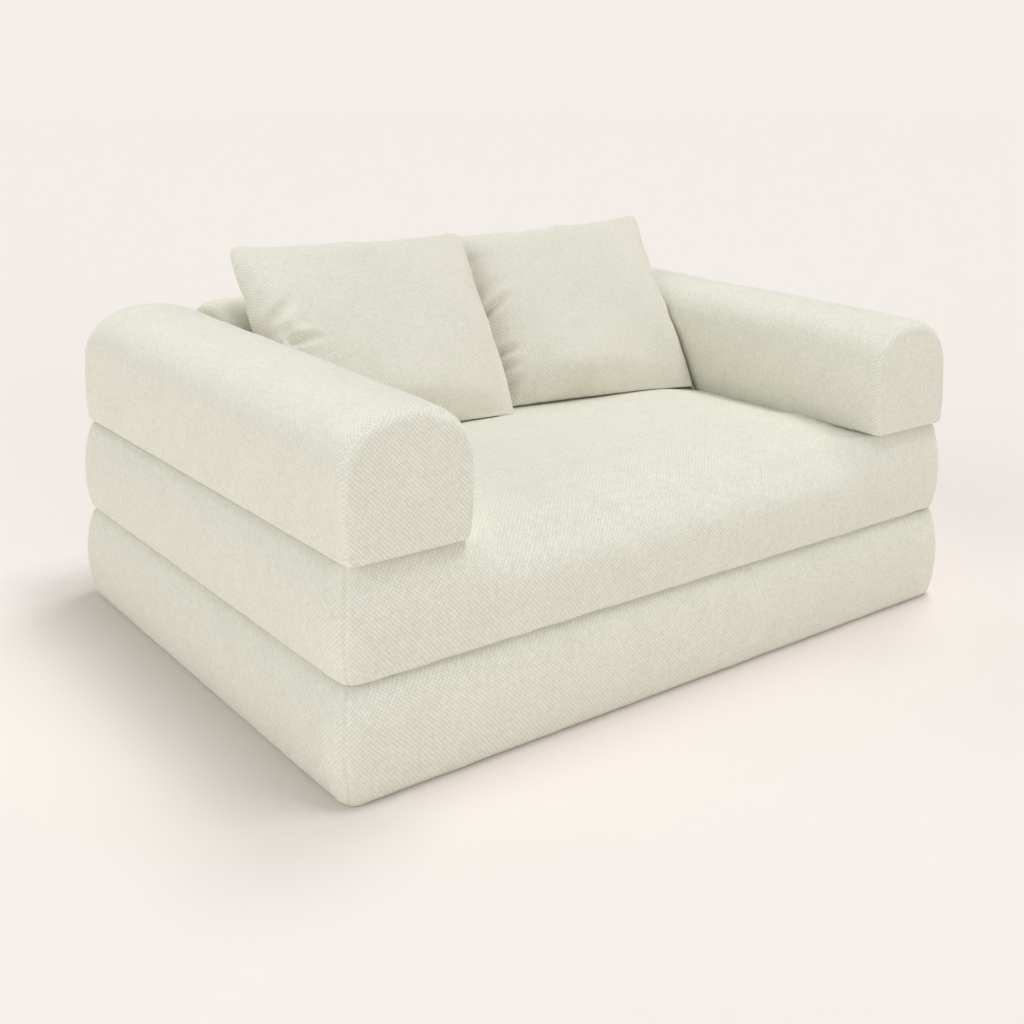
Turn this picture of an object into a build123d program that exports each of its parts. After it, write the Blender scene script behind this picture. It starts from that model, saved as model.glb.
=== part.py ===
# Modular sofa bed: a base slab and a seat slab of foam, folded one on the other and joined along
# their front edge, with two loose arms, a loose back bolster and two loose pillows on top.
# Origin: middle of the footprint on the floor. X is the width, -Y the front, +Z up.
from build123d import *
from math import asin, cos, degrees, radians, sin
import os

os.makedirs("parts", exist_ok=True)

# Driving dimensions of the sofa
outer_width = 1370
outer_depth = 1050
slab_height = 175
arm_width = 232
arm_height = 236
back_depth = 232
back_height = 226

# Fits shared by all pieces
clearance = 0.3
cover_wall = 3
cut_overrun = 5

# Slabs: how far the sewn edges lie inside the fullest line of the bulged sides
seam_inset = 24
slab_corner_radius = 72
base_profile_shares = (
    (0, 1.05), (0.03, 0.84), (0.12, 0.53), (0.27, 0.24), (0.5, 0),
    (0.74, 0.12), (0.90, 0.42), (0.975, 0.74), (1, 1),
)
seat_profile_shares = (
    (0, 1), (0.03, 0.72), (0.12, 0.42), (0.28, 0.12), (0.5, 0),
    (0.72, 0.12), (0.88, 0.42), (0.97, 0.72), (1, 1),
)

# Arms and back bolster: a D section with a flat foot and crowned ends, which draw in most at
# the top, less at the sides and least at the foot
shoulder_share = 0.72
crown_share = 1.42
side_radius = 1100
foot_radius = 10
end_round = 30
end_inset = 18
arm_rear_round = 70
arm_rear_inset = 44
end_side_share = 0.6
end_foot_share = 0.3
end_shares = ((0, 1), (0.1, 0.64), (0.3, 0.35), (0.6, 0.12), (1, 0))
end_setback = 2

# How far an arm's top slopes down to the front
arm_front_drop = 27
# Each row: share of the body's length between the ends, from the rear, and share of the drop
arm_top_shares = ((0, 0), (0.35, 0), (0.5, 0.14), (0.68, 0.44), (0.85, 0.75), (1, 1))
level_top_shares = ((0, 0), (1, 0))

# Pillows: corner tips pull out to ears, edges draw in, the foot is pressed narrower
pillow_width = 490
pillow_height = 430
pillow_depth = 165
pillow_wall = 2
pillow_lean = 50
foot_pinch = 13
edge_draw_in = 15
foot_draw_in = 5
ear_radius = 14
# Each row: share of the half depth, of the outline, of the edge draw-in, of the ear radius
pillow_shares = (
    (0, 1, 1, 1), (0.13, 0.962, 0.8, 2.2), (0.36, 0.885, 0.3, 4.6),
    (0.62, 0.755, -0.3, 6.5), (0.85, 0.56, -0.8, 6.5), (1, 0.3, -0.8, 3.4),
)
left_pillow_gap = 2
left_pillow_turn = -9.5
right_pillow_gap = 22
right_pillow_turn = -14
pillow_search_start = 260
pillow_search_steps = 14

# Zips: a recess in the cover, a tape with its coil and stops, a slider and its pull
slab_zip_length_share = 0.73
slab_zip_rise = 62
arm_zip_length_share = 0.765
back_zip_length_share = 0.707
back_zip_rise = 30
pillow_zip_length_share = 0.694
recess_width = 20
recess_depth = 9
recess_end = 16
slit_width = 4
tape_width = 17
tape_thickness = 0.8
tape_tail = 10
coil_width = 5
coil_height = 1.8
coil_round = 0.8
stop_length = 3
stop_height = 2.4
slider_length = 12
slider_front_width = 9.6
slider_rear_width = 7.8
slider_corner_radius = 1.4
slider_roof = 1.3
bail_length = 6
bail_width = 1.6
bail_wall = 1
pull_thickness = 1.2
pull_length = 24
pull_width = 5.6
pull_eye_length = 5.2
pull_eye_width = 2.6
pull_end_radius = 2.2

# Hook-and-loop strips under the arms and the back, and on the seat below them
grip_width = 30
grip_length_share = 0.68
grip_offset_share = 0.24
grip_thickness = 1.3

# Fabric hinge in the groove between the two slabs, at the front
hinge_strip_length_share = 0.86
hinge_strip_depth = 19.5
hinge_strip_thickness = 1.2
hinge_strip_height = 3.4

base_top = slab_height
seat_low = base_top + clearance
seat_top = seat_low + slab_height
topper_low = seat_top + clearance
half_width = outer_width / 2
half_depth = outer_depth / 2
arm_centre_x = half_width - arm_width / 2
arm_length = outer_depth - 2 * end_setback
back_centre_y = half_depth - end_setback - back_depth / 2
back_length = outer_width - 2 * arm_width - 2 * clearance
slab_zip_length = outer_width * slab_zip_length_share
arm_zip_length = arm_length * arm_zip_length_share
back_zip_length = back_length * back_zip_length_share
pillow_zip_length = pillow_width * pillow_zip_length_share
half_foot = pillow_width / 2 - foot_pinch
left_pillow_x = left_pillow_gap + half_foot + arm_width - half_width
right_pillow_x = half_width - arm_width - half_foot - right_pillow_gap


def save(solid, label):
    """Labels a finished piece and writes it."""
    solid.label = label
    export_step(solid, f"parts/{label}.step")


def section_rows(rows, inset):
    """Every row for an outer face; every second one and the last for what lies inside it."""
    return rows if inset == 0 else rows[:-1:2] + rows[-1:]


def slab_form(low, profile_shares, inset):
    """Foam slab: rounded rectangles lofted up the bulge of its sides."""
    with BuildPart() as form:
        for height_share, inset_share in section_rows(profile_shares, inset):
            draw_in = inset + seam_inset * inset_share
            level = low + inset + (slab_height - 2 * inset) * height_share
            with BuildSketch(Plane.XY.offset(level)):
                RectangleRounded(
                    outer_width - 2 * draw_in,
                    outer_depth - 2 * draw_in,
                    slab_corner_radius - draw_in,
                )
        loft(ruled=inset > 0)
    return form.part


def raised(plane, rise):
    """The same plane, moved up."""
    return Plane(origin=plane.origin + Vector(0, 0, rise), x_dir=plane.x_dir, z_dir=plane.z_dir)


def bolster_outline(half, height):
    """D section, drawn from the crown down one side by tangent arcs and mirrored."""
    shoulder = shoulder_share * half
    crown = crown_share * half
    crown_turn = asin((half - shoulder) / (crown - shoulder))
    side_rise = height - crown + (crown - shoulder) * cos(crown_turn)
    side_turn = asin((side_rise - foot_radius) / (side_radius - foot_radius))
    with BuildSketch() as section:
        with BuildLine():
            top = JernArc((0, height), (1, 0), crown, -degrees(crown_turn))
            shoulder_arc = JernArc(top @ 1, top % 1, shoulder, degrees(crown_turn) - 90)
            side = JernArc(shoulder_arc @ 1, shoulder_arc % 1, side_radius, -degrees(side_turn))
            foot = JernArc(side @ 1, side % 1, foot_radius, degrees(side_turn) - 90)
            Line(foot @ 1, (0, 0))
            mirror(about=Plane.YZ)
        make_face()
    return section.sketch


def bolster_form(middle, width, height, length, top_shares, rear_end, inset):
    """Bolster along middle's normal: a body lofted along its top's slope, with crowned ends."""
    half = width / 2 - inset
    full = height - 2 * inset
    rear_round, rear_inset = rear_end
    body_rear = rear_round - length / 2
    body_length = length - rear_round - end_round
    with BuildPart() as form:
        for place_share, drop_share in section_rows(top_shares, inset):
            with BuildSketch(middle.offset(body_rear + body_length * place_share)):
                add(bolster_outline(half, full - arm_front_drop * drop_share))
        loft(ruled=inset > 0)
    ends = []
    for side, drop_share, round_length, round_inset in (
        (-1, top_shares[0][1], rear_round, rear_inset),
        (1, top_shares[-1][1], end_round, end_inset),
    ):
        end_height = full - arm_front_drop * drop_share
        body_reach = length / 2 - round_length
        with BuildPart() as end:
            for reach_share, inset_share in section_rows(end_shares, inset):
                reach = body_reach + (round_length - inset) * (1 - reach_share)
                draw_in = round_inset * inset_share
                foot_rise = draw_in * end_foot_share
                with BuildSketch(raised(middle, foot_rise).offset(side * reach)):
                    add(bolster_outline(
                        half - draw_in * end_side_share, end_height - draw_in - foot_rise
                    ))
            loft(ruled=inset > 0)
        ends.append(end.part)
    with BuildPart() as whole:
        add(form.part)
        for end_part in ends:
            add(end_part)
    return whole.part


def pillow_outline(size_share, draw_share, ear_share, inset):
    """Four arcs between the corner tips, rounded at the ears."""
    middle = pillow_height / 2
    half_top = (pillow_width / 2 - inset) * size_share
    half_low = (half_foot - inset) * size_share
    low = middle - (middle - inset) * size_share
    high = middle + (middle - inset) * size_share
    draw = edge_draw_in * draw_share
    foot_draw = foot_draw_in * draw_share
    with BuildSketch() as outline:
        with BuildLine():
            SagittaArc((-half_low, low), (half_low, low), foot_draw)
            SagittaArc((half_low, low), (half_top, high), draw)
            SagittaArc((half_top, high), (-half_top, high), draw)
            SagittaArc((-half_top, high), (-half_low, low), draw)
        make_face()
        fillet(outline.vertices(), ear_radius * ear_share)
    return outline.sketch


def pillow_form(plane, inset):
    """Pillow: one face lofted from its seam to its crown, and mirrored to the other face."""
    with BuildPart() as form:
        rows = section_rows(pillow_shares, inset)
        for depth_share, size_share, draw_share, ear_share in rows:
            rise = (pillow_depth / 2 - inset) * depth_share
            with BuildSketch(plane.offset(rise)):
                add(pillow_outline(size_share, draw_share, ear_share, inset))
        loft(ruled=inset > 0)
        mirror(about=plane)
    return form.part


def pillow_plane(foot_x, foot_y, foot_z, turn):
    """Plane through a leaning pillow's seam, from the middle of its foot."""
    lean = radians(pillow_lean)
    yaw = radians(turn)
    return Plane(
        origin=(foot_x, foot_y, foot_z),
        x_dir=(cos(yaw), sin(yaw), 0),
        z_dir=(sin(yaw) * sin(lean), -cos(yaw) * sin(lean), cos(lean)),
    )


def settled_pillow_plane(foot_x, turn, supports):
    """Plane of a pillow that stands on the seat and leans back until it meets a support."""
    trial = pillow_form(pillow_plane(foot_x, 0, 0, turn), 0)
    foot_z = topper_low - trial.bounding_box().min.Z
    foot_y = -pillow_search_start
    for _ in range(pillow_search_steps):
        placed = trial.moved(Location((0, foot_y, foot_z)))
        room = min(placed.distance_to(support) for support in supports)
        foot_y += room - clearance
    return pillow_plane(foot_x, foot_y, foot_z, turn)


def zip_recess(floor, length, wall):
    """Block that clears a zip, from its floor outward; wall makes it larger all round."""
    with BuildPart() as block:
        with BuildSketch(floor.offset(-wall)):
            Rectangle(length + 2 * recess_end + 2 * wall, recess_width + 2 * wall)
        extrude(amount=recess_depth + wall + seam_inset)
    return block.part


def make_module(label, filling, form, wall, floor, zip_length):
    """Cover with its zip recess and slit, and the filling inside it."""
    outer = form(0)
    cavity = form(wall)
    inner = form(wall + clearance)
    mouth = zip_recess(floor, zip_length, 0)
    cavity_notch = zip_recess(floor, zip_length, wall)
    inner_notch = zip_recess(floor, zip_length, wall + clearance)
    with BuildPart() as hollow:
        add(cavity)
        add(cavity_notch, mode=Mode.SUBTRACT)
    with BuildPart() as cover:
        add(outer)
        add(mouth, mode=Mode.SUBTRACT)
        add(hollow.part, mode=Mode.SUBTRACT)
        with BuildSketch(floor):
            Rectangle(zip_length, slit_width)
        extrude(amount=-wall - cut_overrun, mode=Mode.SUBTRACT)
    with BuildPart() as core:
        add(inner)
        add(inner_notch, mode=Mode.SUBTRACT)
    save(core.part, f"{label}_{filling}")
    return cover.part


def make_zip(label, floor, zip_length):
    """Tape with its coil and stops, the slider on it, and the pull in the slider's bail."""
    across = Plane(origin=floor.origin, x_dir=floor.y_dir, z_dir=floor.x_dir)
    coil_low = tape_thickness
    coil_top = coil_low + coil_height
    with BuildPart() as tape:
        with BuildSketch(floor):
            Rectangle(zip_length + 2 * tape_tail, tape_width)
        extrude(amount=tape_thickness)
        with BuildSketch(across):
            with Locations((0, coil_low + coil_height / 2)):
                coil = Rectangle(coil_width, coil_height)
            fillet(coil.vertices().group_by(Axis.Y)[-1], coil_round)
        extrude(amount=zip_length / 2, both=True)
        with BuildSketch(floor.offset(coil_low)):
            with Locations((zip_length / 2 - stop_length / 2, 0),
                           (stop_length / 2 - zip_length / 2, 0)):
                Rectangle(stop_length, coil_width + 2 * clearance)
        extrude(amount=stop_height)
    save(tape.part, f"{label}_zip_tape")

    parked = zip_length / 2 - stop_length - clearance - slider_length / 2
    slider_low = tape_thickness + clearance
    slider_top = coil_top + clearance + slider_roof
    here = Plane(
        origin=floor.origin + floor.x_dir * parked, x_dir=floor.x_dir, z_dir=floor.z_dir
    )
    here_across = Plane(origin=here.origin, x_dir=floor.y_dir, z_dir=floor.x_dir)
    here_along = Plane(origin=here.origin, x_dir=floor.x_dir, z_dir=-floor.y_dir)
    bar_height = slider_top + clearance + pull_thickness / 2
    bail_opening = bar_height + pull_thickness / 2 + clearance
    with BuildPart() as slider:
        with BuildSketch(here.offset(slider_low)):
            with BuildLine():
                Polyline(
                    (-slider_length / 2, -slider_rear_width / 2),
                    (slider_length / 2, -slider_front_width / 2),
                    (slider_length / 2, slider_front_width / 2),
                    (-slider_length / 2, slider_rear_width / 2),
                    close=True,
                )
            body = make_face()
            fillet(body.vertices(), slider_corner_radius)
        extrude(amount=slider_top - slider_low)
        with BuildSketch(here_across):
            with Locations((0, (coil_top + clearance) / 2)):
                Rectangle(coil_width + 2 * clearance, coil_top + clearance)
        extrude(amount=slider_length, both=True, mode=Mode.SUBTRACT)
        with BuildSketch(here_along):
            bail_height = bail_opening + bail_wall - slider_top
            with Locations((0, slider_top + bail_height / 2)):
                bail = Rectangle(bail_length, bail_height)
            fillet(bail.vertices().group_by(Axis.Y)[-1], bail_wall)
            with Locations((0, (slider_top + bail_opening) / 2)):
                Rectangle(bail_length - 2 * bail_wall, bail_opening - slider_top,
                          mode=Mode.SUBTRACT)
        extrude(amount=bail_width / 2, both=True)
    save(slider.part, f"{label}_zip_slider")

    with BuildPart() as pull:
        with BuildSketch(here.offset(bar_height - pull_thickness / 2)):
            with Locations((-pull_length / 2, 0)):
                tab = Rectangle(pull_length, pull_width)
            far_corners = tab.vertices().group_by(Axis.X)[0]
            fillet(far_corners, pull_end_radius)
            with Locations((-pull_eye_length / 2, 0)):
                Rectangle(pull_eye_length, pull_eye_width, mode=Mode.SUBTRACT)
        extrude(amount=pull_thickness)
        with BuildSketch(here_along):
            with Locations((0, bar_height)):
                Circle(pull_thickness / 2)
        extrude(amount=pull_width / 2, both=True)
    save(pull.part, f"{label}_zip_pull")

    travel = zip_length - 2 * stop_length - 2 * clearance - slider_length
    pivot = here.offset(bar_height).origin
    print("zip", label, "slides", tuple(-floor.x_dir), "travel", travel,
          "pivot", tuple(pivot), "hinge axis", tuple(floor.y_dir))


def grip_strips(face, length, width, thickness):
    """Pair of strips along face's x, sunk below the face by their thickness."""
    with BuildPart() as strips:
        with BuildSketch(face):
            offset = width * grip_offset_share
            with Locations((0, -offset), (0, offset)):
                RectangleRounded(length * grip_length_share, grip_width, grip_width / 4)
        extrude(amount=-thickness)
    return strips.part


# Folded foam slabs: zipped covers, each with its foam core
base_floor = Plane(
    origin=(0, half_depth - recess_depth, slab_zip_rise), x_dir=(-1, 0, 0), z_dir=(0, 1, 0)
)
seat_floor = Plane(
    origin=(0, half_depth - recess_depth, seat_low + slab_zip_rise),
    x_dir=(-1, 0, 0),
    z_dir=(0, 1, 0),
)
base_cover = make_module(
    "base", "foam_core", lambda inset: slab_form(0, base_profile_shares, inset),
    cover_wall, base_floor, slab_zip_length,
)
save(base_cover, "base_cover")
make_zip("base", base_floor, slab_zip_length)

seat_shell = make_module(
    "seat", "foam_core", lambda inset: slab_form(seat_low, seat_profile_shares, inset),
    cover_wall, seat_floor, slab_zip_length,
)
make_zip("seat", seat_floor, slab_zip_length)

# Grip strips: loop halves sunk in the seat cover's top
grip_faces = {
    "left_arm": (Plane(origin=(-arm_centre_x, 0, seat_top), x_dir=(0, 1, 0), z_dir=(0, 0, 1)),
                 arm_length, arm_width),
    "right_arm": (Plane(origin=(arm_centre_x, 0, seat_top), x_dir=(0, 1, 0), z_dir=(0, 0, 1)),
                  arm_length, arm_width),
    "back": (Plane(origin=(0, back_centre_y, seat_top), x_dir=(1, 0, 0), z_dir=(0, 0, 1)),
             back_length, back_depth),
}
loops = {
    label: grip_strips(face, length, width, grip_thickness)
    for label, (face, length, width) in grip_faces.items()
}
with BuildPart() as seat_cover:
    add(seat_shell)
    for loop in loops.values():
        add(loop, mode=Mode.SUBTRACT)
save(seat_cover.part, "seat_cover")
for loop_label, loop in loops.items():
    save(loop, f"seat_loop_strips_{loop_label}")

# Fabric hinge: a strip that bridges the front groove, sewn to both slabs' edges
with BuildPart() as hinge_strip:
    with BuildSketch(Plane.XY.offset(base_top + (clearance - hinge_strip_height) / 2)):
        with Locations((0, hinge_strip_depth - half_depth)):
            Rectangle(outer_width * hinge_strip_length_share, hinge_strip_thickness)
    extrude(amount=hinge_strip_height)
save(hinge_strip.part, "fold_hinge_strip")


def make_bolster(label, middle, width, height, length, top_shares, rear_end, floor, zip_length):
    """Arm or back bolster: cover, core, zip and the hook halves of its grip strips."""
    shell = make_module(
        label, "foam_core",
        lambda inset: bolster_form(
            raised(middle, inset), width, height, length, top_shares, rear_end, inset
        ),
        cover_wall, floor, zip_length,
    )
    face, strip_length, strip_width = grip_faces[label]
    underside = face.offset(clearance + grip_thickness)
    hooks = grip_strips(underside, strip_length, strip_width, grip_thickness)
    with BuildPart() as cover:
        add(shell)
        add(hooks, mode=Mode.SUBTRACT)
    save(cover.part, f"{label}_cover")
    save(hooks, f"{label}_hook_strips")
    make_zip(label, floor, zip_length)
    return bolster_form(middle, width, height, length, top_shares, rear_end, 0)


# Arms: zip in a recess along the underside
arm_forms = {}
for arm_label, arm_side in (("left_arm", -1), ("right_arm", 1)):
    arm_x = arm_side * arm_centre_x
    arm_middle = Plane(origin=(arm_x, 0, topper_low), x_dir=(1, 0, 0), z_dir=(0, -1, 0))
    arm_zip_floor = Plane(
        origin=(arm_x, 0, topper_low + recess_depth), x_dir=(0, 1, 0), z_dir=(0, 0, -1)
    )
    arm_forms[arm_label] = make_bolster(
        arm_label, arm_middle, arm_width, arm_height, arm_length, arm_top_shares,
        (arm_rear_round, arm_rear_inset), arm_zip_floor, arm_zip_length,
    )

# Back bolster: between the arms, zip low on its rear face
back_middle = Plane(origin=(0, back_centre_y, topper_low), x_dir=(0, 1, 0), z_dir=(1, 0, 0))
back_zip_floor = Plane(
    origin=(0, half_depth - end_setback - foot_radius - recess_depth, topper_low + back_zip_rise),
    x_dir=(-1, 0, 0),
    z_dir=(0, 1, 0),
)
back_form = make_bolster(
    "back", back_middle, back_depth, back_height, back_length, level_top_shares,
    (end_round, end_inset), back_zip_floor, back_zip_length,
)

# Pillows: a zipped cover and a loose insert, leaning on the back bolster
pillow_forms = []
for pillow_label, pillow_x, pillow_turn in (
    ("right_pillow", right_pillow_x, right_pillow_turn),
    ("left_pillow", left_pillow_x, left_pillow_turn),
):
    seam_plane = settled_pillow_plane(pillow_x, pillow_turn, [back_form, *pillow_forms])
    up_lean = seam_plane.y_dir
    pillow_zip_floor = Plane(
        origin=seam_plane.origin + up_lean * (foot_draw_in + recess_depth),
        x_dir=seam_plane.x_dir,
        z_dir=-up_lean,
    )
    pillow_cover = make_module(
        pillow_label, "insert", lambda inset: pillow_form(seam_plane, inset),
        pillow_wall, pillow_zip_floor, pillow_zip_length,
    )
    save(pillow_cover, f"{pillow_label}_cover")
    make_zip(pillow_label, pillow_zip_floor, pillow_zip_length)
    pillow_forms.append(pillow_form(seam_plane, 0))
    print(pillow_label, "foot middle", tuple(seam_plane.origin))
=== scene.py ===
# Modular sofa bed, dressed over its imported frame. Metres; X is the width, -Y the front, +Z up.
import bpy
import numpy as np
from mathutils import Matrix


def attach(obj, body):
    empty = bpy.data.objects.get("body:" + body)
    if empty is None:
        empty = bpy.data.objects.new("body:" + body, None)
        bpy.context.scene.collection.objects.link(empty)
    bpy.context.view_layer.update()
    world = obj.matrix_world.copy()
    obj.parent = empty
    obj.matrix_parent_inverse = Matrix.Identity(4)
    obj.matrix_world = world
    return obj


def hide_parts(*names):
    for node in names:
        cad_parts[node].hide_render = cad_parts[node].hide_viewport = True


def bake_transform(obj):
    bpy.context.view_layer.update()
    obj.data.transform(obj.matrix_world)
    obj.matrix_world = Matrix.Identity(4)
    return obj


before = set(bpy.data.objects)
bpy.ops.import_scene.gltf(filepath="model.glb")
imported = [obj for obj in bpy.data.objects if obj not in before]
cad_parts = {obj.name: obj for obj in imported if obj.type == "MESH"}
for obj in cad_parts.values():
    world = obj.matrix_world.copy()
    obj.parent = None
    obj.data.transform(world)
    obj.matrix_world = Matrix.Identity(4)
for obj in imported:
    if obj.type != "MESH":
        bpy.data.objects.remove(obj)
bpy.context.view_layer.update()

# ---------------------------------------------------------------- studio
# Plain pale floor that runs out of sight, and wide soft lamps: three high at the right, and one
# or two low or half-way up on each side. Nothing here is part of the sofa.
EYE = (-1.519, -2.019, 0.994)
EYE_TURN = np.radians(-36.94)
EYE_DIP = np.radians(5.59)
LENS = 46.05
LENS_SHIFT = -0.286
FLOOR_COLOUR = (0.910, 0.848, 0.812)
SKY_STRENGTH = 0.01
SEEN_SKY = (0.922, 0.863, 0.815)
# Each lamp: the side it shines from, in degrees from the front to the right, how high it
# stands, how wide a disc of the sky it fills, and its strength. The low ones are a little cool,
# because the floor throws a warm light back up.
LAMPS = {
    "high_right_lamp": (45, 70, 20, 0.752), "overhead_lamp": (80, 80, 20, 0.505),
    "high_rear_lamp": (115, 65, 20, 0.572), "right_lamp": (90, 30, 60, 0.494),
    "rear_left_lamp": (-125, 8, 30, 0.452), "rear_lamp": (180, 45, 60, 0.521),
    "cool_front_lamp": (0, 30, 60, 0.574), "cool_low_front_lamp": (0, 6, 30, 0.585),
    "cool_left_lamp": (-90, 15, 60, 1.219), "cool_low_left_lamp": (-90, 5, 30, 0.200),
}
COOL_LIGHT = (0.96, 1.0, 0.995)

scene = bpy.context.scene
scene.view_settings.view_transform = "Standard"

camera = bpy.data.objects.new("camera", bpy.data.cameras.new("camera"))
camera.location = EYE
camera.rotation_euler = (np.pi / 2 - EYE_DIP, 0, EYE_TURN)
camera.data.lens = LENS
camera.data.sensor_width = 36
camera.data.shift_y = LENS_SHIFT
scene.collection.objects.link(camera)
scene.camera = camera

for name, (from_side, how_high, softness, strength) in LAMPS.items():
    lamp = bpy.data.lights.new(name, "SUN")
    lamp.energy = strength
    lamp.angle = np.radians(softness)
    lamp.color = COOL_LIGHT if "cool" in name else (1, 1, 1)
    stand = bpy.data.objects.new(name, lamp)
    stand.rotation_euler = (np.radians(90 - how_high), 0, np.radians(from_side))
    scene.collection.objects.link(stand)

world = bpy.data.worlds.new("studio")
scene.world = world
world.use_nodes = True
sky = world.node_tree.nodes["Background"]
sky.inputs["Color"].default_value = (1, 1, 1, 1)
sky.inputs["Strength"].default_value = SKY_STRENGTH


def node(tree, kind, links=(), **settings):
    """Shader node with its settings, its input values, and links from other nodes' outputs."""
    made = tree.nodes.new(kind)
    for name, value in settings.items():
        if name == "values":
            for socket, number in value.items():
                made.inputs[socket].default_value = number
        else:
            setattr(made, name, value)
    for socket, source in dict(links).items():
        tree.links.new(source, made.inputs[socket])
    return made


# The camera sees a pale wall in place of the sky, which lights nothing.
seen_sky = node(world.node_tree, "ShaderNodeBackground", values={"Color": (*SEEN_SKY, 1)})
seen = node(world.node_tree, "ShaderNodeLightPath").outputs["Is Camera Ray"]
either = node(world.node_tree, "ShaderNodeMixShader", {0: seen, 1: sky.outputs[0], 2: seen_sky.outputs[0]})
world.node_tree.links.new(either.outputs[0], world.node_tree.nodes["World Output"].inputs[0])


def in_scene(name, mesh, stuff):
    """Smooth object of this mesh. Its stuff is a finish and a slot; the slot is not used."""
    finish, slot = stuff
    mesh.shade_smooth()
    mesh.materials.append(finish)
    piece = bpy.data.objects.new(name, mesh)
    scene.collection.objects.link(piece)
    return piece


def dress(piece, replaced, carrier):
    """The piece takes the place of a packed one and rides on its body."""
    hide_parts(replaced)
    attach(piece, carrier)


def lay_threads(mesh, place, domain):
    """Gives each point or corner of the mesh its place in the cloth, for the weave."""
    threads = mesh.attributes.new("threads", "FLOAT_VECTOR", domain)
    flat = np.concatenate((place, np.zeros((len(place), 1))), axis=1)
    threads.data.foreach_set("vector", flat.astype(np.float32).ravel())


def tube_quads(count, around):
    """Quads between each two neighbouring rings, of so many points around."""
    ring = np.arange(count - 1)[:, None] * around
    here = np.arange(around)[None]
    after = (here + 1) % around
    return np.stack((ring + here, ring + after, ring + around + after, ring + around + here), -1)


def closed_surface(name, rings, weave_bands, stuff):
    """Smooth mesh through rings of points, given as (ring, point, xyz): quads join each two
    neighbouring rings, and the middle of the first and the last ring closes them with a fan.
    weave_bands holds, for each band of quads, the place in the cloth of the points on its two
    rings, with the first point given again at the end of the turn, so no panel's weave runs
    on into the next one's."""
    count, around = rings.shape[:2]
    points = np.concatenate((rings.reshape(-1, 3), rings[[0, -1]].mean(axis=1)))
    near, far = weave_bands[:, 0], weave_bands[:, 1]
    quad_weave = np.stack((near[:, :-1], near[:, 1:], far[:, 1:], far[:, :-1]), 2)
    first = np.arange(around)
    second = (first + 1) % around
    last = (count - 1) * around
    near_fan = np.stack((second, first, np.full(around, count * around)), -1)
    far_fan = np.stack((last + first, last + second, np.full(around, count * around + 1)), -1)
    ends = [np.broadcast_to(line[:-1].mean(axis=0), (around, 2)) for line in (near[0], far[-1])]
    near_weave = np.stack((near[0, 1:], near[0, :-1], ends[0]), 1)
    far_weave = np.stack((far[-1, :-1], far[-1, 1:], ends[1]), 1)
    triangles = np.concatenate((near_fan, far_fan))
    triangle_weave = np.concatenate((near_weave, far_weave))
    quads, quad_weave = tube_quads(count, around).reshape(-1, 4), quad_weave.reshape(-1, 4, 2)
    split = np.concatenate((points[quads[:, :3]], points[quads[:, [0, 2, 3]]], points[triangles]))
    if np.einsum("ij,ij->i", split[:, 0], np.cross(split[:, 1], split[:, 2])).sum() < 0:
        quads, quad_weave = quads[:, ::-1], quad_weave[:, ::-1]
        triangles, triangle_weave = triangles[:, ::-1], triangle_weave[:, ::-1]
    mesh = bpy.data.meshes.new(name)
    mesh.from_pydata(points, [], quads.tolist() + triangles.tolist())
    lay_threads(mesh, np.concatenate((quad_weave.reshape(-1, 2), triangle_weave.reshape(-1, 2))), "CORNER")
    return in_scene(name, mesh, stuff)


def bands(places, turn=0.0):
    """Neighbouring rings' places in the cloth in pairs, each with its first point again, one
    turn further on."""
    onward = np.stack((np.broadcast_to(turn, len(places)), np.zeros(len(places))), -1)[:, None]
    closed = np.concatenate((places, places[:, :1] + onward), 1)
    return np.stack((closed[:-1], closed[1:]), 1)


def arithmetic(tree, operation, first, second=0.0, third=0.0):
    """Math node whose inputs are numbers or other nodes' outputs."""
    made = tree.nodes.new("ShaderNodeMath")
    made.operation = operation
    for socket, value in enumerate((first, second, third)):
        if isinstance(value, (int, float)):
            made.inputs[socket].default_value = value
        else:
            tree.links.new(value, made.inputs[socket])
    return made.outputs[0]


def blank_finish(name, values):
    """New material whose surface shader has these input values, its node tree and the shader."""
    finish = bpy.data.materials.new(name)
    finish.use_nodes = True
    shader = finish.node_tree.nodes["Principled BSDF"]
    for socket, value in values.items():
        shader.inputs[socket].default_value = value
    return finish, finish.node_tree, shader


def solid_place(tree):
    """The shaded point's place in the object, in metres."""
    return node(tree, "ShaderNodeTexCoord").outputs["Object"]


def noise(tree, place, scale, detail, distortion=0.0):
    """Noise of this many lumps to the metre."""
    return node(tree, "ShaderNodeTexNoise", {"Vector": place}, values={
        "Scale": scale, "Detail": detail, "Distortion": distortion}).outputs["Fac"]


def tone_and_painted_shade(tree, shader, lit, low_colour, high_colour):
    """The surface runs from the low to the high colour as lit goes from 0 to 1. For the cloth,
    the tapes, the bag and the foam the low colour is painted shade in their hollows; for the zinc
    it is a darker grain.
    """
    shade = node(tree, "ShaderNodeMix", {"Factor": lit}, data_type="RGBA", clamp_factor=True)
    shade.inputs[6].default_value = (*low_colour, 1)
    shade.inputs[7].default_value = (*high_colour, 1)
    tree.links.new(shade.outputs[2], shader.inputs["Base Color"])


def emboss(tree, shader, height, strength, distance):
    """The height from 0 to 1 stands out of the surface by this distance."""
    bump = node(tree, "ShaderNodeBump", {"Height": height}, values={
        "Strength": strength, "Distance": distance})
    tree.links.new(bump.outputs["Normal"], shader.inputs["Normal"])


# ---------------------------------------------------------------- floor
# Seamless pale board. It is only there to carry the sofa's shadow.
FLOOR_REACH = 60

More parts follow.
